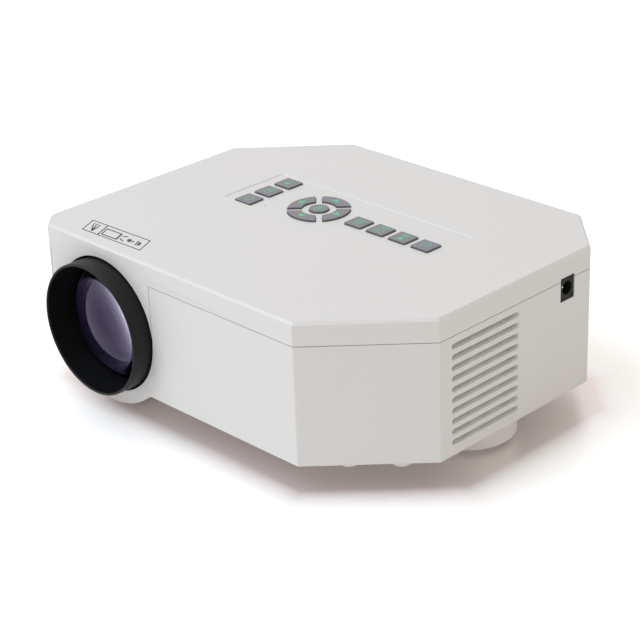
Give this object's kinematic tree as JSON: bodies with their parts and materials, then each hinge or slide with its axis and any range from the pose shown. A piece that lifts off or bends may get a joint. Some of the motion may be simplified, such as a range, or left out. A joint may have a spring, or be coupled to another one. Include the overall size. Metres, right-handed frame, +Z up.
{
  "type": "projector",
  "caption": "Compact projector with a screen-side focusing lens in a cut-cornered case, a keypad on top, rear sockets, a side air outlet and a power inlet.",
  "frame": {"origin": "bottom centre of the box that holds the whole part, at the height that the rubber feet stand on", "axes": "+X to the right seen from the front (the air outlet's side), +Y to the rear (the lens looks along -Y), +Z up"},
  "size_m": [0.202, 0.1684, 0.0765],
  "materials": {
    "shell_white": "fine matte grain",
    "ring_black": "fine matte grain",
    "inner_black": "matte",
    "key_grey": "satin",
    "board_green": "solder mask",
    "part_black": "moulded",
    "part_ivory": "moulded",
    "socket_blue": "moulded",
    "ir_red": "dark translucent",
    "led_clear": "clear",
    "led_yellow": "phosphor layer",
    "aluminium": "extruded",
    "can_metal": "sleeved can",
    "steel": "zinc plated",
    "copper_coil": "lacquered copper winding",
    "brass": "turned",
    "mirror": "front surface mirror",
    "clear_glass": "polished",
    "coated_glass": "purple anti-reflection coating",
    "panel_grey": "polarised panel",
    "rubber_black": "matte",
    "flex_amber": "polyimide film",
    "wire_red": "wire insulation"
  },
  "bodies": {
    "housing": {"top_cover": "shell_white", "bottom_tray": "shell_white", "lens_sleeve": "inner_black", "optics_box": "inner_black", "optics_lid": "inner_black", "fan_frame": "inner_black", "speaker_cone": "inner_black", "key_board": "board_green", "main_board": "board_green", "driver_board": "board_green", "tact_switches": "part_black", "main_chip": "part_black", "av_jack": "part_black", "dc_jack": "part_black", "ir_receiver": "part_black", "board_connectors": "part_ivory", "vga_socket": "socket_blue", "ir_window": "ir_red", "status_led": "led_clear", "led_chip": "led_yellow", "heatsink": "aluminium", "lamp_board": "aluminium", "capacitors": "can_metal", "usb_socket": "steel", "hdmi_socket": "steel", "dc_contacts": "steel", "board_screws": "steel", "optics_screws": "steel", "lamp_screws": "steel", "case_screws": "steel", "speaker": "steel", "driver_inductor": "copper_coil", "tripod_insert": "brass", "fold_mirror": "mirror", "front_fresnel": "clear_glass", "rear_fresnel": "clear_glass", "condenser_lens": "clear_glass", "lcd_panel": "panel_grey", "rubber_feet": "rubber_black", "flex_cables": "flex_amber", "wire_leads": "wire_red"},
    "focus_ring": {"focus_ring": "ring_black", "helicoid_collar": "inner_black"},
    "lens_barrel": {"lens_barrel": "inner_black", "front_lens": "coated_glass", "middle_lens": "clear_glass", "rear_lens": "clear_glass"},
    "fan_rotor": {"fan_rotor": "inner_black"},
    "power_key": {"power_key": "key_grey"},
    "source_key": {"source_key": "key_grey"},
    "mute_key": {"mute_key": "key_grey"},
    "menu_key": {"menu_key": "key_grey"},
    "aspect_key": {"aspect_key": "key_grey"},
    "play_key": {"play_key": "key_grey"},
    "back_key": {"back_key": "key_grey"},
    "right_key": {"right_key": "key_grey"},
    "up_key": {"up_key": "key_grey"},
    "left_key": {"left_key": "key_grey"},
    "down_key": {"down_key": "key_grey"},
    "ok_key": {"ok_key": "key_grey"}
  },
  "joints": [
    {"name": "focus_slide", "type": "slide", "parent": "housing", "child": "lens_barrel", "axis": [0, -1, 0], "range_m": [0, 0.006]},
    {"name": "focus_turn", "type": "hinge", "parent": "lens_barrel", "child": "focus_ring", "pos_m": [-0.057, -0.0748, 0.039], "axis": [0, -1, 0], "range_deg": [0, 270]},
    {"name": "fan_spin", "type": "hinge", "parent": "housing", "child": "fan_rotor", "pos_m": [0.0902, -0.0073, 0.0393], "axis": [1, 0, 0], "continuous": true},
    {"name": "power_press", "type": "slide", "parent": "housing", "child": "power_key", "axis": [0, 0, -1], "range_m": [0, 0.0005], "stiffness_N_per_m": 2000, "springref_m": -0.0005},
    {"name": "source_press", "type": "slide", "parent": "housing", "child": "source_key", "axis": [0, 0, -1], "range_m": [0, 0.0005], "stiffness_N_per_m": 2000, "springref_m": -0.0005},
    {"name": "mute_press", "type": "slide", "parent": "housing", "child": "mute_key", "axis": [0, 0, -1], "range_m": [0, 0.0005], "stiffness_N_per_m": 2000, "springref_m": -0.0005},
    {"name": "menu_press", "type": "slide", "parent": "housing", "child": "menu_key", "axis": [0, 0, -1], "range_m": [0, 0.0005], "stiffness_N_per_m": 2000, "springref_m": -0.0005},
    {"name": "aspect_press", "type": "slide", "parent": "housing", "child": "aspect_key", "axis": [0, 0, -1], "range_m": [0, 0.0005], "stiffness_N_per_m": 2000, "springref_m": -0.0005},
    {"name": "play_press", "type": "slide", "parent": "housing", "child": "play_key", "axis": [0, 0, -1], "range_m": [0, 0.0005], "stiffness_N_per_m": 2000, "springref_m": -0.0005},
    {"name": "back_press", "type": "slide", "parent": "housing", "child": "back_key", "axis": [0, 0, -1], "range_m": [0, 0.0005], "stiffness_N_per_m": 2000, "springref_m": -0.0005},
    {"name": "right_press", "type": "slide", "parent": "housing", "child": "right_key", "axis": [0, 0, -1], "range_m": [0, 0.0005], "stiffness_N_per_m": 2000, "springref_m": -0.0005},
    {"name": "up_press", "type": "slide", "parent": "housing", "child": "up_key", "axis": [0, 0, -1], "range_m": [0, 0.0005], "stiffness_N_per_m": 2000, "springref_m": -0.0005},
    {"name": "left_press", "type": "slide", "parent": "housing", "child": "left_key", "axis": [0, 0, -1], "range_m": [0, 0.0005], "stiffness_N_per_m": 2000, "springref_m": -0.0005},
    {"name": "down_press", "type": "slide", "parent": "housing", "child": "down_key", "axis": [0, 0, -1], "range_m": [0, 0.0005], "stiffness_N_per_m": 2000, "springref_m": -0.0005},
    {"name": "ok_press", "type": "slide", "parent": "housing", "child": "ok_key", "axis": [0, 0, -1], "range_m": [0, 0.0005], "stiffness_N_per_m": 2000, "springref_m": -0.0005}
  ],
  "couplings": [
    {"joint": "focus_turn", "follows": "focus_slide", "rad_per_m": 785.4}
  ]
}
